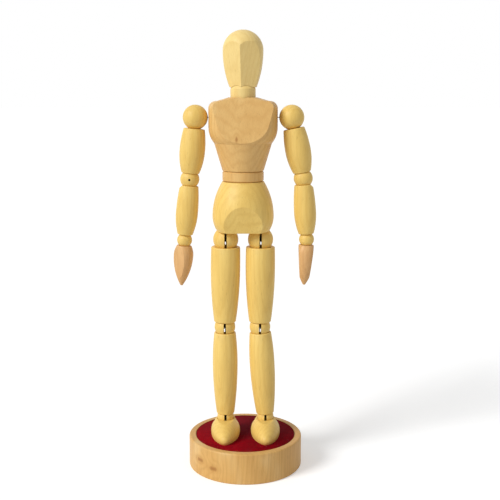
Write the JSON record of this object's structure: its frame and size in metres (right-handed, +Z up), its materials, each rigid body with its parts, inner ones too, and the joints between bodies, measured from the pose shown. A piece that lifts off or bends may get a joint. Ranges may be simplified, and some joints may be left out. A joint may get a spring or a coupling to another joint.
{
  "type": "artist mannequin",
  "caption": "Jointed wooden artist's figure standing on a round wooden base with a red felt inlay; ball joints held by inner springs at every limb, waist and neck.",
  "frame": {"origin": "centre of the base's underside", "axes": "+Z up, the figure faces -Y, its left side is +X"},
  "size_m": [0.0984, 0.08, 0.304],
  "materials": {
    "light_wood": "satin, pale yellow turned wood",
    "arm_wood": "satin, slightly tanner turned wood",
    "chest_wood": "satin turned wood with a small knot",
    "base_wood": "satin, orange-tan wood with grain",
    "red_felt": "matte deep red felt",
    "spring_wire": "drawn spring wire",
    "pin_steel": "plain steel pins",
    "screw_steel": "zinc plated"
  },
  "bodies": {
    "root": {"base_disc": "base_wood", "base_inlay": "red_felt", "base_screws": "screw_steel", "left_foot": "light_wood", "right_foot": "light_wood", "foot_hooks": "pin_steel"},
    "right_ankle": {"right_ankle_ball": "light_wood", "right_ankle_pin": "pin_steel"},
    "right_shin": {"right_shin": "light_wood", "right_shin_spring": "spring_wire"},
    "right_knee": {"right_knee_ball": "light_wood", "right_knee_pin": "pin_steel"},
    "right_thigh": {"right_thigh": "light_wood", "right_thigh_spring": "spring_wire"},
    "right_hip": {"right_hip_ball": "light_wood", "right_hip_pin": "pin_steel"},
    "right_shoulder": {"right_shoulder_ball": "light_wood", "right_shoulder_pin": "pin_steel"},
    "right_upper_arm": {"right_upper_arm": "arm_wood", "right_upper_arm_spring": "spring_wire"},
    "right_elbow": {"right_elbow_ball": "light_wood", "right_elbow_pin": "pin_steel"},
    "right_forearm": {"right_forearm": "arm_wood", "right_forearm_spring": "spring_wire"},
    "right_wrist": {"right_wrist_ball": "light_wood"},
    "right_hand": {"right_hand": "arm_wood", "right_hand_pin": "pin_steel"},
    "left_ankle": {"left_ankle_ball": "light_wood", "left_ankle_pin": "pin_steel"},
    "left_shin": {"left_shin": "light_wood", "left_shin_spring": "spring_wire"},
    "left_knee": {"left_knee_ball": "light_wood", "left_knee_pin": "pin_steel"},
    "left_thigh": {"left_thigh": "light_wood", "left_thigh_spring": "spring_wire"},
    "left_hip": {"left_hip_ball": "light_wood", "left_hip_pin": "pin_steel"},
    "left_shoulder": {"left_shoulder_ball": "light_wood", "left_shoulder_pin": "pin_steel"},
    "left_upper_arm": {"left_upper_arm": "arm_wood", "left_upper_arm_spring": "spring_wire"},
    "left_elbow": {"left_elbow_ball": "light_wood", "left_elbow_pin": "pin_steel"},
    "left_forearm": {"left_forearm": "arm_wood", "left_forearm_spring": "spring_wire"},
    "left_wrist": {"left_wrist_ball": "light_wood"},
    "left_hand": {"left_hand": "arm_wood", "left_hand_pin": "pin_steel"},
    "pelvis": {"pelvis": "light_wood", "pelvis_pin": "pin_steel", "hip_springs": "spring_wire"},
    "torso_spring": {"torso_spring": "spring_wire"},
    "waist": {"waist": "light_wood"},
    "chest": {"chest": "chest_wood", "chest_pins": "pin_steel", "shoulder_springs": "spring_wire"},
    "neck_spring": {"neck_spring": "spring_wire"},
    "neck": {"neck": "light_wood"},
    "head": {"head": "light_wood", "head_pin": "pin_steel"}
  },
  "joints": [
    {"name": "right_ankle_bend", "type": "hinge", "parent": "root", "child": "right_shin", "pos_m": [-0.0141, 0, 0.0346], "axis": [1, 0, 0], "range_deg": [-20, 20]},
    {"name": "right_ankle_roll", "type": "hinge", "parent": "root", "child": "right_ankle", "pos_m": [-0.0141, 0, 0.0346], "axis": [1, 0, 0], "range_deg": [-10, 10]},
    {"name": "right_knee_bend", "type": "hinge", "parent": "right_shin", "child": "right_thigh", "pos_m": [-0.0143, 0, 0.1006], "axis": [-1, 0, 0], "range_deg": [0, 84]},
    {"name": "right_knee_roll", "type": "hinge", "parent": "right_shin", "child": "right_knee", "pos_m": [-0.0143, 0, 0.1006], "axis": [-1, 0, 0], "range_deg": [0, 42]},
    {"name": "left_ankle_bend", "type": "hinge", "parent": "root", "child": "left_shin", "pos_m": [0.0143, 0, 0.0346], "axis": [1, 0, 0], "range_deg": [-20, 20]},
    {"name": "left_ankle_roll", "type": "hinge", "parent": "root", "child": "left_ankle", "pos_m": [0.0143, 0, 0.0346], "axis": [1, 0, 0], "range_deg": [-10, 10]},
    {"name": "left_knee_bend", "type": "hinge", "parent": "left_shin", "child": "left_thigh", "pos_m": [0.0103, 0, 0.1006], "axis": [-1, 0, 0], "range_deg": [0, 84]},
    {"name": "left_knee_roll", "type": "hinge", "parent": "left_shin", "child": "left_knee", "pos_m": [0.0103, 0, 0.1006], "axis": [-1, 0, 0], "range_deg": [0, 42]},
    {"name": "right_hip_bend", "type": "hinge", "parent": "right_thigh", "child": "pelvis", "pos_m": [-0.0135, 0, 0.1628], "axis": [1, 0, 0], "range_deg": [-20, 56]},
    {"name": "right_hip_roll", "type": "hinge", "parent": "right_thigh", "child": "right_hip", "pos_m": [-0.0135, 0, 0.1628], "axis": [1, 0, 0], "range_deg": [-10, 28]},
    {"name": "left_hip_roll", "type": "hinge", "parent": "left_thigh", "child": "left_hip", "pos_m": [0.0105, 0, 0.1628], "axis": [1, 0, 0], "range_deg": [-10, 28]},
    {"name": "waist_twist", "type": "hinge", "parent": "pelvis", "child": "torso_spring", "pos_m": [-0.0015, 0, 0.20395], "axis": [0, 0, 1], "range_deg": [-45, 45], "deforming": ["torso_spring"]},
    {"name": "waist_side_bend", "type": "hinge", "parent": "torso_spring", "child": "waist", "pos_m": [-0.0015, 0, 0.21813], "axis": [0, 1, 0], "range_deg": [-8, 8], "deforming": ["torso_spring"]},
    {"name": "waist_bend", "type": "hinge", "parent": "waist", "child": "chest", "pos_m": [-0.0015, 0, 0.19517], "axis": [1, 0, 0], "range_deg": [-12, 12], "deforming": ["torso_spring"]},
    {"name": "neck_turn", "type": "hinge", "parent": "chest", "child": "neck_spring", "pos_m": [-0.0015, 0, 0.26081], "axis": [0, 0, 1], "range_deg": [-80, 80], "deforming": ["neck_spring"]},
    {"name": "neck_tilt", "type": "hinge", "parent": "neck_spring", "child": "neck", "pos_m": [-0.0015, 0, 0.26081], "axis": [0, 1, 0], "range_deg": [-15, 15], "deforming": ["neck_spring"]},
    {"name": "head_nod", "type": "hinge", "parent": "neck", "child": "head", "pos_m": [-0.0015, 0, 0.26081], "axis": [1, 0, 0], "range_deg": [-20, 20], "deforming": ["neck_spring"]},
    {"name": "right_shoulder_swing", "type": "hinge", "parent": "chest", "child": "right_shoulder", "pos_m": [-0.0338, 0, 0.2462], "axis": [-1, 0, 0], "range_deg": [-50, 150], "deforming": ["shoulder_springs"]},
    {"name": "right_shoulder_raise", "type": "hinge", "parent": "right_shoulder", "child": "right_upper_arm", "pos_m": [-0.0338, 0, 0.2462], "axis": [0, 1, 0], "range_deg": [0, 95]},
    {"name": "right_arm_twist", "type": "hinge", "parent": "right_upper_arm", "child": "right_elbow", "pos_m": [-0.0379, 0, 0.2044], "axis": [0.0976, 0, 0.9952], "range_deg": [-90, 90], "deforming": ["right_upper_arm_spring"]},
    {"name": "right_elbow_bend", "type": "hinge", "parent": "right_elbow", "child": "right_forearm", "pos_m": [-0.0379, 0, 0.2044], "axis": [0, 1, 0], "range_deg": [0, 78]},
    {"name": "right_forearm_twist", "type": "hinge", "parent": "right_forearm", "child": "right_wrist", "pos_m": [-0.04195, 0, 0.1623], "axis": [0.0958, 0, 0.9954], "range_deg": [-90, 90], "deforming": ["right_forearm_spring"]},
    {"name": "right_wrist_bend", "type": "hinge", "parent": "right_wrist", "child": "right_hand", "pos_m": [-0.04195, 0, 0.1623], "axis": [0, 1, 0], "range_deg": [-30, 30], "deforming": ["right_forearm_spring"]},
    {"name": "left_shoulder_swing", "type": "hinge", "parent": "chest", "child": "left_shoulder", "pos_m": [0.0314, 0, 0.2462], "axis": [-1, 0, 0], "range_deg": [-50, 150], "deforming": ["shoulder_springs"]},
    {"name": "left_shoulder_raise", "type": "hinge", "parent": "left_shoulder", "child": "left_upper_arm", "pos_m": [0.0314, 0, 0.2462], "axis": [0, -1, 0], "range_deg": [0, 95]},
    {"name": "left_arm_twist", "type": "hinge", "parent": "left_upper_arm", "child": "left_elbow", "pos_m": [0.03956, 0, 0.205], "axis": [-0.1942, 0, 0.981], "range_deg": [-90, 90], "deforming": ["left_upper_arm_spring"]},
    {"name": "left_elbow_bend", "type": "hinge", "parent": "left_elbow", "child": "left_forearm", "pos_m": [0.03956, 0, 0.205], "axis": [0, -1, 0], "range_deg": [0, 78]},
    {"name": "left_forearm_twist", "type": "hinge", "parent": "left_forearm", "child": "left_wrist", "pos_m": [0.04229, 0, 0.16279], "axis": [-0.0645, 0, 0.9979], "range_deg": [-90, 90], "deforming": ["left_forearm_spring"]},
    {"name": "left_wrist_bend", "type": "hinge", "parent": "left_wrist", "child": "left_hand", "pos_m": [0.04229, 0, 0.16279], "axis": [0, -1, 0], "range_deg": [-30, 30], "deforming": ["left_forearm_spring"]}
  ],
  "couplings": [
    {"joint": "right_ankle_roll", "follows": "right_ankle_bend", "ratio": 0.5},
    {"joint": "right_knee_roll", "follows": "right_knee_bend", "ratio": 0.5},
    {"joint": "right_hip_roll", "follows": "right_hip_bend", "ratio": 0.5},
    {"joint": "left_ankle_roll", "follows": "right_ankle_bend", "ratio": 0.5},
    {"joint": "left_knee_roll", "follows": "right_knee_bend", "ratio": 0.5},
    {"joint": "left_hip_roll", "follows": "right_hip_bend", "ratio": 0.5},
    {"joint": "left_ankle_bend", "follows": "right_ankle_bend", "ratio": 1},
    {"joint": "left_knee_bend", "follows": "right_knee_bend", "ratio": 1}
  ]
}
